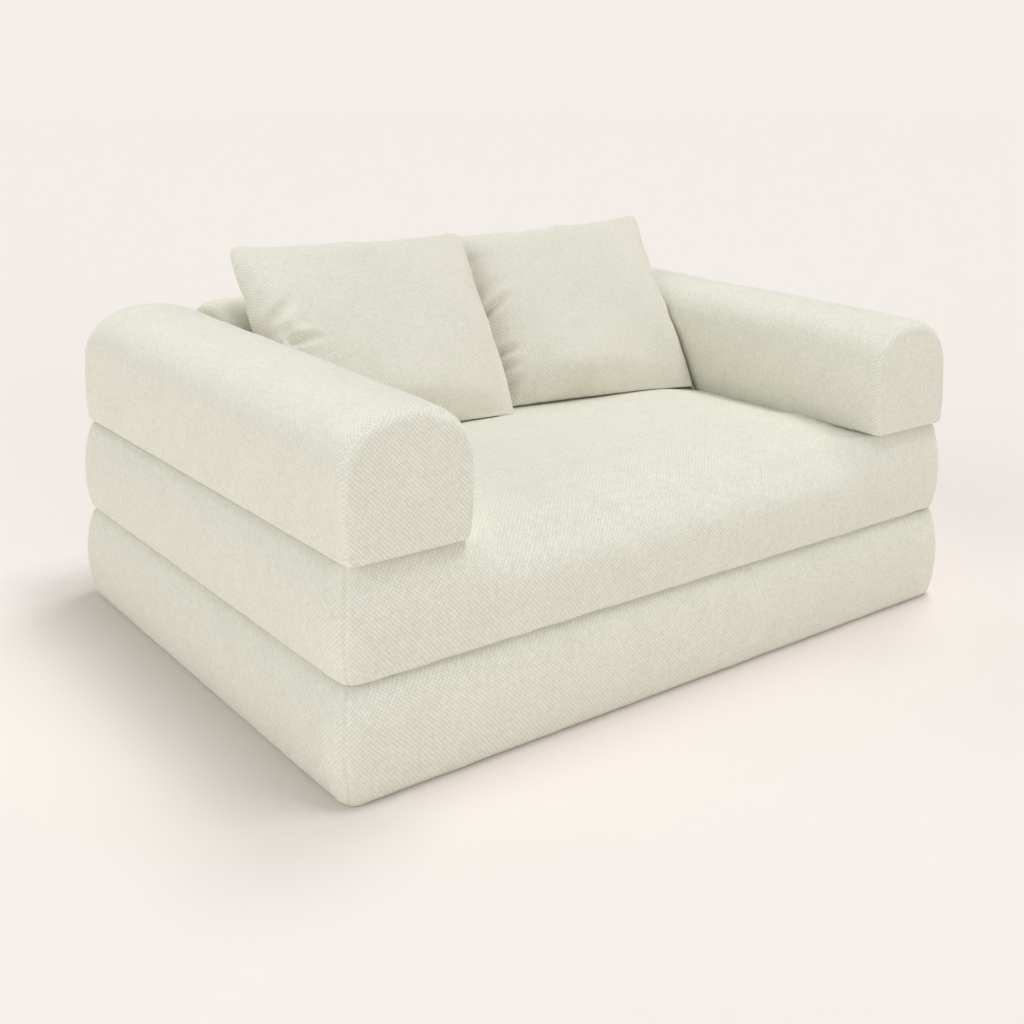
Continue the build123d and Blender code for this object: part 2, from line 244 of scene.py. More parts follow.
floor_finish = blank_finish("floor_board", {
    "Base Color": (*FLOOR_COLOUR, 1), "Roughness": 1, "Specular IOR Level": 0})[0]
floor_mesh = bpy.data.meshes.new("floor")
floor_corners = np.array([(-1, -1, 0), (1, -1, 0), (1, 1, 0), (-1, 1, 0)]) * FLOOR_REACH
floor_mesh.from_pydata(floor_corners, [], [(0, 1, 2, 3)])
floor_mesh.materials.append(floor_finish)
floor = bpy.data.objects.new("floor", floor_mesh)
scene.collection.objects.link(floor)

# ---------------------------------------------------------------- basket weave
# Cover cloth: a nubby cream basket weave of thick soft yarn, in which the raised crossings
# stand in slanting rows, with fine fuzz on the yarn and slightly uneven colour. A cell is one
# thread and its gap, a nub stands out by NUB_RISE, and the threads wander by DRIFT. The gaps
# between the nubs are painted darker, as painted shade.
CELL = 0.0038
NUB_RISE = 0.0006
DRIFT = 0.0042
NUB_COLOUR = (0.903, 0.885, 0.776)
# The second colour is painted shade in the gaps between the nubs.
PAINTED_GAP_SHADE = (0.716, 0.696, 0.593)


def woven_finish(name, nub_colour, painted_gap_shade):
    """Cloth shader. The nubs are the product of two cosines, one across and one along the
    threads, each of two cells to a wave, so the tops stand on a slanting lattice, and the cloth
    between them is painted darker as painted shade. Noise as wide as two nubs shifts them and makes
    some of them thicker, wider noise lets the yarn's colour and thickness drift, and finer noise is
    its fuzz."""
    finish, tree, shader = blank_finish(name, {
        "Roughness": 0.95, "Specular IOR Level": 0.15, "Sheen Weight": 0.25, "Sheen Roughness": 0.5,
        "Sheen Tint": (1.0, 0.98, 0.92, 1)})
    solid = solid_place(tree)
    place = node(tree, "ShaderNodeAttribute", attribute_name="threads").outputs["Vector"]
    drift = node(tree, "ShaderNodeTexNoise", {"Vector": solid}, values={"Scale": 90.0, "Detail": 3.0})
    centred = node(tree, "ShaderNodeVectorMath", {0: drift.outputs["Color"]}, operation="SUBTRACT",
                   values={1: (0.5, 0.5, 0.5)})
    shifted = node(tree, "ShaderNodeVectorMath", {0: centred.outputs[0], 2: place},
                   operation="MULTIPLY_ADD", values={1: (DRIFT, DRIFT, 0.0)})
    axes = node(tree, "ShaderNodeSeparateXYZ", {0: shifted.outputs[0]})
    turns = [arithmetic(tree, "MULTIPLY", axes.outputs[axis], np.pi / CELL) for axis in "XY"]
    across, along = (arithmetic(tree, "COSINE", turn) for turn in turns)
    lattice = arithmetic(tree, "MULTIPLY_ADD", arithmetic(tree, "MULTIPLY", across, along), 0.5, 0.5)
    thick = arithmetic(tree, "MULTIPLY_ADD", noise(tree, solid, 160, 2), 1.9, -0.05)
    nub = arithmetic(tree, "MULTIPLY", arithmetic(tree, "POWER", lattice, 0.8), thick)
    fuzz = noise(tree, solid, 700, 2)
    lit = nub
    for grain, share in ((fuzz, 0.5), (noise(tree, solid, 22, 3), 0.35), (noise(tree, solid, 105, 2), 0.6)):
        lit = arithmetic(tree, "MULTIPLY_ADD", arithmetic(tree, "SUBTRACT", grain, 0.5), share, lit)
    # Painted shade: the cloth between the nubs takes the darker colour.
    tone_and_painted_shade(tree, shader, lit, painted_gap_shade, nub_colour)
    emboss(tree, shader, arithmetic(tree, "MULTIPLY_ADD", fuzz, 0.3, nub), 0.8, NUB_RISE)
    return finish


basket = (woven_finish("basket_weave", NUB_COLOUR, PAINTED_GAP_SHADE), "basket_weave")

# ---------------------------------------------------------------- slab covers
# Base and seat: foam slabs in zipped covers of six panels, sewn at the corners and round the
# top and bottom. The foam fills the sides out, and the sewn edges draw in.
WIDTH = 1.370
DEPTH = 1.050
SLAB_HEIGHT = 0.175
CORNER_RADIUS = 0.062
SEAM_CORNER = 0.022
SEAM_INSET = 0.024
SLAB_ZIP_RISE = 0.062
SLAB_ZIP_HALF = 0.500
SEAM_WIDTH = 0.0030
SEAM_DEPTH = 0.0013
# Beside a corner seam, over its turned-in cloth, the cover stands up a little.
WELT_RISE, WELT_PLACE, WELT_WIDTH = 0.0007, 0.007, 0.005
# The zip's opening: half the gap between its lips, how far it runs on past the zip's ends, so
# that the pull has room there, and how deep its floor lies.
LIP_HALF = 0.0074
PULL_ROOM = 0.0185
MOUTH_DEPTH = 0.0094
# How the cloth swells over the foam, in broad waves, and puckers along the sewn edges.
SWELL, SWELL_LENGTH = 0.0012, 0.21
PUCKER, PUCKER_LENGTH, PUCKER_REACH = 0.0011, 0.045, 0.016
EDGE_PRESS, EDGE_REACH = 0.0005, 0.004
# A rolled edge drops by this share of how far it rolls in.
ROLL_DROP = 0.25
# A flat panel is built of copies of its edge, this large, towards its middle.
SLAB_PANEL = np.array((0.994, 0.985, 0.97, 0.95, 0.92, 0.88, 0.83, 0.76, 0.68, 0.58, 0.47, 0.36, 0.24,
                       0.12, 0.04))


def smooth_line(knots, at):
    """Points of a line through the knots at these lengths along it: between each two knots,
    the cubic that starts and ends with the slope of their neighbours' chord."""
    knots = np.asarray(knots, float)
    place = np.concatenate(([0], np.cumsum(np.linalg.norm(np.diff(knots, axis=0), axis=1))))
    slope = np.gradient(knots, place, axis=0)
    k = np.clip(np.searchsorted(place, at, side="right") - 1, 0, len(place) - 2)
    span = (place[k + 1] - place[k])[:, None]
    t = (at[:, None] - place[k][:, None]) / span
    return ((2 * t**3 - 3 * t**2 + 1) * knots[k] + (t**3 - 2 * t**2 + t) * span * slope[k]
            + (3 * t**2 - 2 * t**3) * knots[k + 1] + (t**3 - t**2) * span * slope[k + 1])


def soft_step(value, start, end):
    """0 before start, 1 after end, and between them three squares less two cubes."""
    t = np.clip((value - start) / (end - start), 0, 1)
    return t * t * (3 - 2 * t)


def unevenness(points, length, seed):
    """Sum of nine plane waves about this long, in seeded directions, mostly within one."""
    draw = np.random.default_rng(seed)
    way = draw.normal(size=(9, 3))
    way *= 2 * np.pi / length * draw.uniform(0.7, 1.5, (9, 1)) / np.linalg.norm(way, axis=1)[:, None]
    return np.sin(points @ way.T + draw.uniform(0, 2 * np.pi, 9)).sum(-1) / 4.5


def zip_mouth(aside, along, half_length, skin):
    """One over a zip's opening and zero beside it, for places this far aside and along it."""
    between_lips = soft_step(LIP_HALF + skin - np.abs(aside), 0, 0.0024)
    return between_lips * soft_step(half_length + PULL_ROOM + skin - np.abs(along), 0, 0.003)


def stations(total, step, fine_spots):
    """Places from 0 to total about a step apart, and a millimetre apart round each fine spot."""
    coarse = np.linspace(0, total, int(total / step) + 1)
    fine = [np.arange(-0.009, 0.0095, 0.001) + spot for spot in fine_spots]
    for spot in fine_spots:
        coarse = coarse[np.abs(coarse - spot) > 0.0095]
    every = np.concatenate([coarse, *fine])
    return np.unique(every[(every >= 0) & (every <= total)].round(5))


def rounded_rectangle(run, half_x, half_y, radius):
    """Line round a rectangle with round corners, from the middle of the back by the left side:
    for each length along it, the point a corner radius inside it, and the way out."""
    sides = (2 * (half_x - radius), 2 * (half_y - radius)) * 2
    quarter = radius * np.pi / 2
    inner = np.array([(half_x, half_y), (-half_x, half_y), (-half_x, -half_y), (half_x, -half_y)])
    inner = inner - np.sign(inner) * radius
    run = (run + sides[0] / 2) % (sum(sides) + 4 * quarter)
    core = np.zeros((len(run), 2))
    out = np.zeros((len(run), 2))
    start = 0.0
    for side in range(4):
        angle = np.pi / 2 * (side + 1)
        on_side = (run >= start) & (run <= start + sides[side])
        share = ((run[on_side] - start) / sides[side])[:, None]
        core[on_side] = inner[side] * (1 - share) + inner[(side + 1) % 4] * share
        out[on_side] = (np.cos(angle), np.sin(angle))
        start += sides[side]
        on_corner = (run > start) & (run < start + quarter)
        turn = angle + (run[on_corner] - start) / radius
        core[on_corner] = inner[(side + 1) % 4]
        out[on_corner] = np.stack((np.cos(turn), np.sin(turn)), -1)
        start += quarter
    return core, out


def slab_surface(name, low, shares, crown, lap, seed, stuff, skin=0.0):
    """Slab: the line through the profile's shares is carried round a rounded rectangle, whose
    corners are tighter the further in it is drawn, and a panel closes it above and below.
    crown gives the top panel's rise at x and y, lap how far the top edge rolls in at x and y.
    Seams and the zip's opening are pressed in."""
    half_x, half_y = WIDTH / 2, DEPTH / 2
    straight_x, straight_y = 2 * (half_x - CORNER_RADIUS), 2 * (half_y - CORNER_RADIUS)
    quarter = CORNER_RADIUS * np.pi / 2
    total = 2 * (straight_x + straight_y) + 4 * quarter
    corner_seams = straight_x / 2 + quarter / 2 + np.array(
        (0, straight_y + quarter, straight_x + straight_y + 2 * quarter,
         straight_x + 2 * straight_y + 3 * quarter))
    mouth_end = SLAB_ZIP_HALF + PULL_ROOM
    run = stations(total, 0.012, [*corner_seams, mouth_end, total - mouth_end])[:-1]
    core, out = rounded_rectangle(run, half_x, half_y, CORNER_RADIUS)

    knots = [(inset * SEAM_INSET, height * SLAB_HEIGHT) for height, inset in shares]
    length = np.linalg.norm(np.diff(knots, axis=0), axis=1).sum()
    trial = smooth_line(knots, np.linspace(0, length, 200))
    zip_place = np.interp(SLAB_ZIP_RISE, trial[:, 1], np.linspace(0, length, 200))
    rise = stations(length, 0.0055, [zip_place])
    inset, height = smooth_line(knots, rise).T
    share = height / SLAB_HEIGHT

    core3, out3 = core[None], out[None]
    radius = CORNER_RADIUS + (SEAM_CORNER - CORNER_RADIUS) * (inset / SEAM_INSET)[:, None, None]
    halves = np.array((half_x, half_y))
    flat = (core3 * (halves - inset[:, None, None] - radius) / (halves - CORNER_RADIUS)
            + (radius - skin) * out3)
    z = low + skin + (height * (1 - 2 * skin / SLAB_HEIGHT))[:, None] + np.zeros(len(run))[None]
    roll = lap(flat[..., 0], flat[..., 1])
    upper = soft_step(share, 0.42, 1.0)[:, None]
    flat = flat - (roll * upper**1.6)[..., None] * out3
    z = z + crown(flat[..., 0], flat[..., 1]) * soft_step(share, 0.6, 1.0)[:, None]
    z = z - ROLL_DROP * roll * upper**3

    side = np.concatenate((flat, z[..., None]), -1)
    press = np.zeros(z.shape)
    if not skin:
        swell = np.sin(np.pi * np.clip(share, 0, 1))[:, None]
        press -= SWELL * unevenness(side, SWELL_LENGTH, seed) * swell
        near = np.minimum(share, 1 - share)[:, None] * SLAB_HEIGHT
        pucker = unevenness(side * (1, 1, 0.4), PUCKER_LENGTH, seed + 1)
        press += PUCKER * np.exp(-near / PUCKER_REACH) * pucker
        for spot in corner_seams:
            away = np.abs(run - spot)[None]
            press += SEAM_DEPTH * np.exp(-(away / SEAM_WIDTH) ** 2)
            press -= WELT_RISE * np.exp(-((away - WELT_PLACE) / WELT_WIDTH) ** 2)
        press += EDGE_PRESS * np.exp(-near / EDGE_REACH)
    side[..., :2] -= press[..., None] * out3
    side[..., 1] = np.maximum(side[..., 1], 0.0002 - half_y)
    mouth = zip_mouth((rise - zip_place)[:, None], side[..., 0], SLAB_ZIP_HALF, skin)
    mouth = mouth * (out3[..., 1] > 0.99)
    side[..., 1] += mouth * np.minimum(half_y - MOUTH_DEPTH - skin - side[..., 1], 0)

    top = np.repeat(side[-1:], len(SLAB_PANEL), 0)
    top[..., :2] *= SLAB_PANEL[:, None, None]
    low_panel = np.repeat(side[:1], len(SLAB_PANEL), 0)
    low_panel[..., :2] *= SLAB_PANEL[::-1][:, None, None]
    settle = soft_step(1 - SLAB_PANEL, 0, 0.05)[:, None]
    x, y = top[..., 0], top[..., 1]
    level = low + SLAB_HEIGHT - skin + crown(x, y) - ROLL_DROP * lap(x, y)
    top[..., 2] = top[..., 2] * (1 - settle) + level * settle
    low_panel[..., 2] = low + skin
    rings = np.concatenate((low_panel, side, top))
    wrapped = np.stack(np.broadcast_arrays(run[None], rise[:, None]), -1)
    weave = np.concatenate((bands(np.concatenate((low_panel, side[:1]))[..., :2]), bands(wrapped, total),
                            bands(np.concatenate((side[-1:], top))[..., :2])))
    return closed_surface(name, rings, weave, stuff)


def no_rise(x, y):
    """A flat panel, or an edge that isn't rolled in."""
    return np.zeros(np.shape(x))


BASE_SHARES = ((0, 1.05), (0.03, 0.84), (0.12, 0.53), (0.27, 0.24), (0.5, 0),
               (0.74, 0.12), (0.90, 0.42), (0.975, 0.74), (1, 1))
base_cover = slab_surface("base_cover_cloth", 0, BASE_SHARES, no_rise, no_rise, 3, basket)
dress(base_cover, "base_cover", "base")

# The seat's top rises between the arms, where nothing presses on it, and its front edge rolls
# over there. Under the arms it lies flat.
SEAT_LOW = 0.1753
SEAT_SHARES = ((0, 1), (0.03, 0.72), (0.12, 0.42), (0.28, 0.12), (0.5, 0),
               (0.72, 0.12), (0.88, 0.42), (0.97, 0.72), (1, 1))
ARM_FACE = 0.453
CROWN_RISE = 0.019
ROLL_IN = 0.030
# How far the seat's cloth lies below the solid's top between the arms, and under them.
SEAT_SINK, UNDER_ARM_SINK = 0.0006, 0.0009


def seat_crown(x, y):
    """Rise of the seat's top: one between the arms, times a long hump from the front edge to
    the foot of the pillows, which stays just below the pillows and the back."""
    between = 1 - soft_step(np.abs(x), ARM_FACE - 0.014, ARM_FACE + 0.005)
    hump = soft_step(y, -0.54, -0.26) * (1 - soft_step(y, -0.10, 0.12))
    return (CROWN_RISE * hump - SEAT_SINK) * between - UNDER_ARM_SINK * (1 - between)


def seat_lap(x, y):
    """How far the seat's front top edge rolls in between the arms."""
    between = 1 - soft_step(np.abs(x), ARM_FACE - 0.07, ARM_FACE + 0.01)
    return ROLL_IN * between * (1 - soft_step(y, -0.50, -0.40))


seat_cover = slab_surface("seat_cover_cloth", SEAT_LOW, SEAT_SHARES, seat_crown, seat_lap, 8, basket)
dress(seat_cover, "seat_cover", "seat")

# ---------------------------------------------------------------- fold hinge
# A strip of plain cotton webbing at the bottom of the front groove, sewn to both covers as a
# shallow pleat. The base slab turns about it when the sofa is opened.
HINGE_HALF = 0.589
HINGE_Z = 0.17515
HINGE_SEAM_Y = -0.5005
HINGE_PLEAT = 0.0030
HINGE_RISE = 0.0015
# The tape's thickness at the fold, and at its seams.
TAPE_THICK, TAPE_THIN = 0.0008, 0.0006
HINGE_STATIONS = 90


def webbing_finish(name, ridge_colour, painted_gap_shade, ridge, roughness=0.85):
    """Plain woven tape: fine slanting ridges this far apart over its place in the object, with
    each ridge a little uneven, and a faint cloud of wear. The gaps between the ridges take the
    darker colour, as painted shade."""
    finish, tree, shader = blank_finish(name, {"Roughness": roughness, "Specular IOR Level": 0.2})
    solid = solid_place(tree)
    twill = node(tree, "ShaderNodeTexWave", {"Vector": solid}, bands_direction="DIAGONAL",
                 values={"Scale": 2 * np.pi / (10 * ridge), "Distortion": 1.5, "Detail": 2.0})
    lit = arithmetic(tree, "MULTIPLY_ADD", noise(tree, solid, 120, 4), 0.5, twill.outputs["Fac"])
    tone_and_painted_shade(tree, shader, arithmetic(tree, "MULTIPLY", lit, 0.8), painted_gap_shade, ridge_colour)
    emboss(tree, shader, lit, 0.6, 0.0002)
    return finish


hinge_tape = webbing_finish("hinge_tape", (0.80, 0.78, 0.68), (0.62, 0.60, 0.51), 0.0016)


def pleat_surface(name, stuff):
    """Pleat: a half ellipse across the groove, out and back a tape's thickness further in, is
    carried along the groove."""
    bend = np.linspace(np.pi / 2, -np.pi / 2, 17)
    outer = np.stack((-HINGE_PLEAT * np.cos(bend), HINGE_RISE * np.sin(bend)), -1)
    inner = np.stack((-(HINGE_PLEAT - TAPE_THICK) * np.cos(bend),
                      (HINGE_RISE - TAPE_THIN) * np.sin(bend)), -1)
    ring = np.concatenate((outer, inner[::-1])) + (HINGE_SEAM_Y, HINGE_Z)
    along = np.linspace(-HINGE_HALF, HINGE_HALF, HINGE_STATIONS)
    grid = (HINGE_STATIONS, len(ring))
    rings = np.concatenate((np.broadcast_to(along[:, None, None], (*grid, 1)),
                            np.broadcast_to(ring, (*grid, 2))), -1)
    return closed_surface(name, rings, bands(rings[..., :2]), stuff)


hinge = pleat_surface("fold_hinge_webbing", (hinge_tape, "hinge_tape"))
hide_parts("fold_hinge_strip")
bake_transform(hinge)

# ---------------------------------------------------------------- arms and back bolster
# Loose bolsters of firm foam with a D section: one long wrap of cloth, sewn to a panel at each
# end. They grip the seat with hook strips below, where the zip is too.
ARM_LOW = 0.3506
ARM_FILLING = {"left_arm": (-0.566, 0.222), "right_arm": (0.560, 0.210)}
ARM_HEIGHT = 0.236
ARM_LENGTH = 1.046
ARM_X = 0.569
ARM_ZIP_HALF = 0.400
PLAIN_END = (0.030, 0.018)
ARM_REAR_END = (0.070, 0.044)
SIDE_RADIUS, FOOT_RADIUS = 1.100, 0.010
END_SHARES = ((1, 0), (0.6, 0.12), (0.3, 0.35), (0.1, 0.64), (0, 1))
END_SIDE_DRAW = 0.75
END_FOOT_RISE = 0.3
END_FOOT_DRAW = 0.75
BACK_ZIP_RISE = 0.030
BACK_ZIP_FLOOR = 0.0966
BOLSTER_SWELL, BOLSTER_SWELL_LENGTH = 0.0016, 0.19
BOLSTER_PUCKER, BOLSTER_PUCKER_LENGTH = 0.0009, 0.04
END_SEAM_DEPTH, END_SEAM_WIDTH = 0.0007, 0.0032
# How far an end panel's middle stands out, at which share of the height, and how far the cloth
# lifts off the seat under the foot.
PANEL_DOME, PANEL_MIDDLE, FOOT_LIFT = 0.0025, 0.44, 0.0009
END_PANEL = np.array((0.985, 0.95, 0.9, 0.82, 0.72, 0.6, 0.46, 0.3, 0.14, 0.05))


def d_outline(half, height, close_rows):
    """D section for each half width and height: from the middle of the foot, out to the right,
    round a small foot arc, up a nearly straight side, over a shoulder arc and a flatter crown
    arc to the top, and mirrored down the left side. All arcs meet in line. The side has points
    at the heights in close_rows, and evenly above them."""
    half, height = half[:, None], height[:, None]
    shoulder, crown, side, foot = 0.72 * half, 1.42 * half, SIDE_RADIUS, FOOT_RADIUS
    turn = np.arcsin((half - shoulder) / (crown - shoulder))
    side_rise = height - crown + (crown - shoulder) * np.cos(turn)
    bend = np.arcsin((side_rise - foot) / (side - foot))
    foot_x = half - side + (side - foot) * np.cos(bend)
    flat = np.arange(0, 0.0162, 0.0009)
    flat = np.concatenate((np.broadcast_to(flat, (len(half), len(flat))),
                           0.017 + (foot_x - 0.017) * np.linspace(0.08, 1, 8)[None]), 1)
    parts = [(flat, np.zeros(flat.shape))]
    low = np.pi / 2 + (bend - np.pi / 2) * np.linspace(0.15, 1, 6)[None]
    parts.append((foot_x + foot * np.cos(low), foot - foot * np.sin(low)))
    side_z = np.concatenate((foot * (1 - np.sin(bend)), np.tile(close_rows, (len(half), 1))), 1)
    above = side_z[:, -1:] + (side_rise - side_z[:, -1:]) * np.linspace(0, 1, 12)[None, 1:]
    up = np.arcsin((side_rise - np.concatenate((side_z[:, 1:], above), 1)) / side)
    parts.append((half - side + side * np.cos(up), side_rise - side * np.sin(up)))
    over = np.pi / 2 + (turn - np.pi / 2) * np.linspace(0, 1, 18)[None, 1:]
    parts.append((half - shoulder + shoulder * np.sin(over), side_rise + shoulder * np.cos(over)))
    top = turn * np.linspace(1, 0, 9)[None, 1:]
    parts.append((crown * np.sin(top), height - crown + crown * np.cos(top)))
    x = np.concatenate([part[0] for part in parts], 1)
    z = np.concatenate([part[1] for part in parts], 1)
    x = np.concatenate((x, -x[:, -2:0:-1]), 1)
    z = np.concatenate((z, z[:, -2:0:-1]), 1)
    return x, z


def end_profile(end, skin):
    """Line along which an end draws in: how far in, how far out, and the length run so far,
    from the straight body to the panel. The seam's place on it is where a third is drawn in."""
    round_length, inset = end
    knots = [(share * inset, (1 - reach) * (round_length - skin)) for reach, share in END_SHARES]
    length = np.linalg.norm(np.diff(knots, axis=0), axis=1).sum()
    trial = smooth_line(knots, np.linspace(0, length, 200))
    seam = np.interp(inset / 3, trial[:, 0], np.linspace(0, length, 200))
    run = stations(length, 0.003, [seam])
    draw, out = smooth_line(knots, run).T
    return draw, out, run, seam


def bolster_surface(name, place, width, height, length, ends, sink, zip_half, zip_kind, seed,
                    stuff, skin, zip_aside=0.0):
    """Bolster: the D section is carried along a straight line, drawn in at each end along the
    line through the end shares, fully at the top and hardly at the foot, and closed by a slightly
    domed panel. sink gives how far the top lies below the full height along the line. place gives
    the ways across and along, and the middle of its foot. The end seams and the zip's opening are
    pressed in."""
    (draw_0, out_0, run_0, seam_0), (draw_1, out_1, run_1, seam_1) = (
        end_profile(end, skin) for end in ends)
    start, stop = ends[0][0] - length / 2, length / 2 - ends[1][0]
    mouth_end = zip_half + PULL_ROOM
    body = stations(stop - start, 0.014, [-mouth_end - start, mouth_end - start])[1:-1] + start
    along = np.concatenate((start - out_0[::-1], body, stop + out_1))
    drawn = np.concatenate((draw_0[::-1], np.zeros(len(body)), draw_1))
    share = np.concatenate((draw_0[::-1] / ends[0][1], np.zeros(len(body)), draw_1 / ends[1][1]))
    cloth = np.concatenate((start - run_0[::-1], body, stop + run_1))
    foot_rise = END_FOOT_RISE * drawn * share
    half = width / 2 - skin - END_SIDE_DRAW * drawn
    tall = height - sink(along) - 2 * skin - drawn - foot_rise
    close_rows = np.zeros(0)
    if zip_kind == "rear":
        close_rows = np.arange(-0.0086, 0.0087, 0.0007) + BACK_ZIP_RISE
    x, z = d_outline(half, tall, close_rows)
    upper = soft_step(z / tall[:, None], 0.15, 0.85)
    low_half = width / 2 - skin - END_FOOT_DRAW * drawn * share
    x = x * (upper + (1 - upper) * (low_half / half)[:, None])
    z = z + skin + foot_rise[:, None]
    y = np.broadcast_to(along[:, None], x.shape)
    around = np.concatenate((np.zeros((len(x), 1)),
                             np.cumsum(np.hypot(np.diff(x), np.diff(z)), 1)), 1)
    around = np.broadcast_to(around[len(x) // 2], x.shape)
    wrap = np.stack((x, y, z), -1)
    ahead = np.roll(wrap, -1, 1) - np.roll(wrap, 1, 1)
    way = np.stack((ahead[..., 2], np.zeros(x.shape), -ahead[..., 0]), -1)
    way /= np.linalg.norm(way, axis=-1, keepdims=True)
    free = soft_step(z, 0.004, 0.05)
    if not skin:
        press = -BOLSTER_SWELL * unevenness(wrap, BOLSTER_SWELL_LENGTH, seed) * free
        past = np.minimum(np.abs(cloth - (start - seam_0)), np.abs(cloth - (stop + seam_1)))[:, None]
        press += END_SEAM_DEPTH * np.exp(-(past / END_SEAM_WIDTH) ** 2) * free
        pucker = unevenness(wrap, BOLSTER_PUCKER_LENGTH, seed + 1)
        press += BOLSTER_PUCKER * np.exp(-past / PUCKER_REACH) * pucker * free
        wrap = wrap - press[..., None] * way
        wrap[..., 2] += FOOT_LIFT * soft_step(width / 2 - np.abs(x), 0.012, 0.03) * (z < 0.002)
    if zip_kind == "foot":
        mouth = zip_mouth(x - zip_aside, y, zip_half, skin) * (z < 0.05)
        wrap[..., 2] += mouth * np.maximum(MOUTH_DEPTH + skin - wrap[..., 2], 0)
    else:
        mouth = zip_mouth(z - BACK_ZIP_RISE, y, zip_half, skin) * (x < 0)
        wrap[..., 0] += mouth * np.maximum(skin - BACK_ZIP_FLOOR - wrap[..., 0], 0)

    panels = []
    for edge, sign in ((wrap[0], -1), (wrap[-1], 1)):
        centre = np.array((0, edge[0, 1], height * PANEL_MIDDLE))
        panel = centre + (edge - centre) * END_PANEL[:, None, None]
        panel[..., 1] = edge[0, 1] + sign * PANEL_DOME * (1 - END_PANEL[:, None] ** 2)
        panels.append(panel)
    rings = np.concatenate((panels[0][::-1], wrap, panels[1]))
    wrapped = np.stack((around, np.broadcast_to(cloth[:, None], x.shape)), -1)
    near_row = int(np.argmin(np.abs(cloth - (start - seam_0))))
    far_row = int(np.argmin(np.abs(cloth - (stop + seam_1))))
    near_end = np.concatenate((panels[0][::-1], wrap[:near_row + 1]))[..., [0, 2]]
    far_end = np.concatenate((wrap[far_row:], panels[1]))[..., [0, 2]]
    girth = np.hypot(*(wrap[:, 0] - wrap[:, -1])[:, [0, 2]].T) + around[:, -1]
    middle = slice(near_row, far_row + 1)
    weave = np.concatenate((bands(near_end), bands(wrapped[middle], girth[middle]), bands(far_end)))
    across_way, along_way, origin = np.array(place, float)
    rings = rings[..., :1] * across_way + rings[..., 1:2] * along_way + rings[..., 2:] * (0, 0, 1) + origin
    return closed_surface(name, rings, weave, stuff)


ARM_MIDDLE_SINK, ARM_SLOPE, ARM_REAR_SINK = 0.011, 0.026, 0.016


def arm_sink(along):
    """The arm's top slopes down to the front in a straight line, and falls off at the rear."""
    return ARM_MIDDLE_SINK - ARM_SLOPE * along + ARM_REAR_SINK * soft_step(along, 0.38, 0.50)


def arm_surface(arm, name, stuff, skin=0.0):
    """An arm, or its foam a skin's depth inside it. The zip keeps its place in the frame."""
    middle_x, width = ARM_FILLING[arm]
    place = ((1, 0, 0), (0, 1, 0), (middle_x, 0, ARM_LOW))
    return bolster_surface(name, place, width, ARM_HEIGHT, ARM_LENGTH, (PLAIN_END, ARM_REAR_END), arm_sink,
                           ARM_ZIP_HALF, "foot", len(arm), stuff, skin,
                           np.sign(middle_x) * ARM_X - middle_x)


for arm in ARM_FILLING:
    cover = arm_surface(arm, f"{arm}_cover_cloth", basket)
    dress(cover, f"{arm}_cover", arm)

BACK_LENGTH = 0.9054
BACK_Y = 0.407
BACK_WIDTH = 0.232
BACK_HEIGHT = 0.226
BACK_ZIP_HALF = 0.320


def back_surface(name, stuff, skin=0.0):
    """The back bolster, or its foam a skin's depth inside it."""
    place = ((0, -1, 0), (1, 0, 0), (0, BACK_Y, ARM_LOW))
    return bolster_surface(name, place, BACK_WIDTH, BACK_HEIGHT, BACK_LENGTH, (PLAIN_END, PLAIN_END),
                           np.zeros_like, BACK_ZIP_HALF, "rear", 31, stuff, skin)


back_cover = back_surface("back_cover_cloth", basket)
dress(back_cover, "back_cover", "back")

# ---------------------------------------------------------------- foam cores
# Cut polyurethane foam, one block in each slab, arm and back. It fills its cover and shows only
# where a zip is open.
CORE_SKIN = 0.004
CORE_COLOUR = (0.82, 0.74, 0.50)
# The pore colour is painted shade inside the pores.
CORE_PAINTED_PORE_SHADE = (0.66, 0.56, 0.33)


def foam_finish(name, colour, painted_pore_shade):
    """Open-celled foam: round pores about a millimetre wide over its place in the object, darkened
    inside as painted shade, a finer grain between them, and a faint yellowing in clouds."""
    finish, tree, shader = blank_finish(name, {"Roughness": 0.95, "Specular IOR Level": 0.1})
    solid = solid_place(tree)
    pores = node(tree, "ShaderNodeTexVoronoi", {"Vector": solid}, values={"Scale": 900.0})
    wall = arithmetic(tree, "MULTIPLY_ADD", pores.outputs["Distance"], 1.2, 0.15)
    wall = arithmetic(tree, "MULTIPLY_ADD", noise(tree, solid, 2200, 2), 0.25, wall)
    lit = arithmetic(tree, "MULTIPLY_ADD", noise(tree, solid, 9, 3), 0.35, wall)
    tone_and_painted_shade(tree, shader, lit, painted_pore_shade, colour)
    emboss(tree, shader, wall, 0.7, 0.0005)
    return finish


foam = (foam_finish("cut_foam", CORE_COLOUR, CORE_PAINTED_PORE_SHADE), "foam")


def seat_core_crown(x, y):
    """The seat core's top follows the cover's, but nowhere dips."""
    return np.maximum(seat_crown(x, y), 0)


cores = {
    "base": slab_surface("base_foam_block", 0, BASE_SHARES, no_rise, no_rise, 3, foam, CORE_SKIN),
    "seat": slab_surface("seat_foam_block", SEAT_LOW, SEAT_SHARES, seat_core_crown, seat_lap, 8, foam,
                         CORE_SKIN),
    "back": back_surface("back_foam_block", foam, CORE_SKIN),
}
for arm in ARM_FILLING:
    cores[arm] = arm_surface(arm, f"{arm}_foam_block", foam, CORE_SKIN)
for carrier, core in cores.items():
    dress(core, f"{carrier}_foam_core", carrier)

# ---------------------------------------------------------------- pillows
# Two loose pillows with fibre filling: two square panels sewn together round the edge, which
# fills out in the middle and leaves the corners as soft ears.
PILLOW_WIDTH = 0.490
PILLOW_HEIGHT = 0.430
PILLOW_DEPTH = 0.165
LEAN = np.radians(50)
